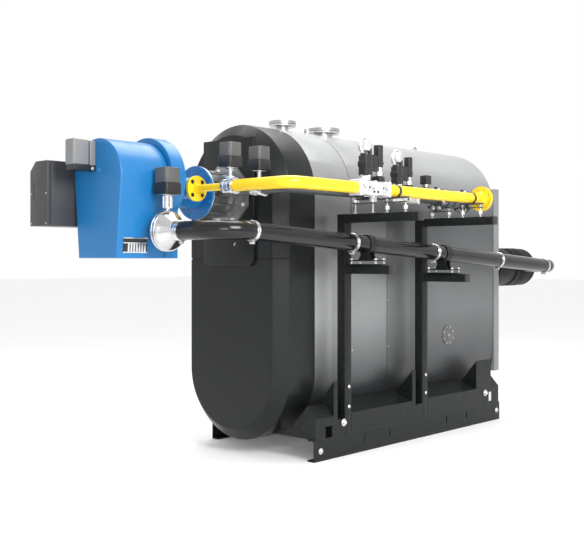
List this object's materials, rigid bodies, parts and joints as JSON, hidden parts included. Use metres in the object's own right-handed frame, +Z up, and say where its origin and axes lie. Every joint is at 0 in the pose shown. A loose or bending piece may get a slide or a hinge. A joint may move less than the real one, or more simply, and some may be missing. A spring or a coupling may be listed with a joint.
{
  "type": "industrial hot-water boiler with gas burner",
  "caption": "Floor-standing jacketed hot-water boiler on rails, with a blower gas burner, gas lines on cantilever frames and a flue-gas recirculation pipe.",
  "frame": {"origin": "on the floor under the middle of the base, on the boiler's centre plane", "axes": "+X from the burner end to the flue end, +Y to the side without pipework, +Z up"},
  "size_m": [4.746, 1.75, 2.372],
  "materials": {
    "anthracite": "satin powder coat",
    "jacket_sheet": "smooth grey metallic coated sheet",
    "flue_black": "matt heat-resistant paint",
    "burner_blue": "satin paint",
    "bare_steel": "plain steel",
    "control_grey": "textured powder coat",
    "gas_yellow": "gloss paint",
    "pipe_grey": "satin paint",
    "cast_alloy": "cast and machined",
    "polished_steel": "polished stainless",
    "drive_black": "moulded",
    "pipe_black": "gloss paint",
    "frame_black": "satin powder coat"
  },
  "bodies": {
    "root": {"burner_control_box": "control_grey", "burner_gas_inlet": "gas_yellow", "burner_head_duct": "bare_steel", "burner_housing": "burner_blue", "burner_neck": "burner_blue", "burner_plate": "bare_steel", "burner_rear_band": "burner_blue", "burner_terminal_box": "control_grey", "end_plates": "frame_black", "floor_tie": "frame_black", "flow_nozzle": "bare_steel", "flue_duct": "flue_black", "frame_arms": "frame_black", "frame_posts": "frame_black", "gas_pipe_supports": "polished_steel", "gas_pressure_switch": "drive_black", "gas_throttle_drives": "drive_black", "gas_throttles": "cast_alloy", "gas_valve_actuators": "drive_black", "head_gas_inlet": "pipe_grey", "hood_lower": "anthracite", "hood_panel": "anthracite", "hood_upper": "anthracite", "inner_gas_bend": "pipe_grey", "inner_gas_pipe": "pipe_grey", "inner_gas_strainer": "pipe_grey", "inner_gas_valve": "cast_alloy", "jacket_front_bay": "jacket_sheet", "jacket_middle_bay": "jacket_sheet", "jacket_rear_bay": "jacket_sheet", "left_rail": "frame_black", "left_saddles": "frame_black", "lifting_eye": "jacket_sheet", "outer_gas_bend": "gas_yellow", "outer_gas_flange": "gas_yellow", "outer_gas_pipe": "gas_yellow", "outer_gas_valve": "cast_alloy", "pipe_brackets": "frame_black", "pipe_shoes": "frame_black", "rear_cover": "jacket_sheet", "recirc_bands": "polished_steel", "recirc_damper": "polished_steel", "recirc_damper_drive": "drive_black", "recirc_front_elbow": "pipe_black", "recirc_pipe": "pipe_black", "recirc_rear_elbow": "pipe_black", "recirc_reducer": "polished_steel", "right_gussets": "frame_black", "right_rail": "frame_black", "right_saddles": "frame_black", "safety_nozzle": "bare_steel", "side_port": "jacket_sheet", "vent_socket": "bare_steel"}
  },
  "joints": []
}
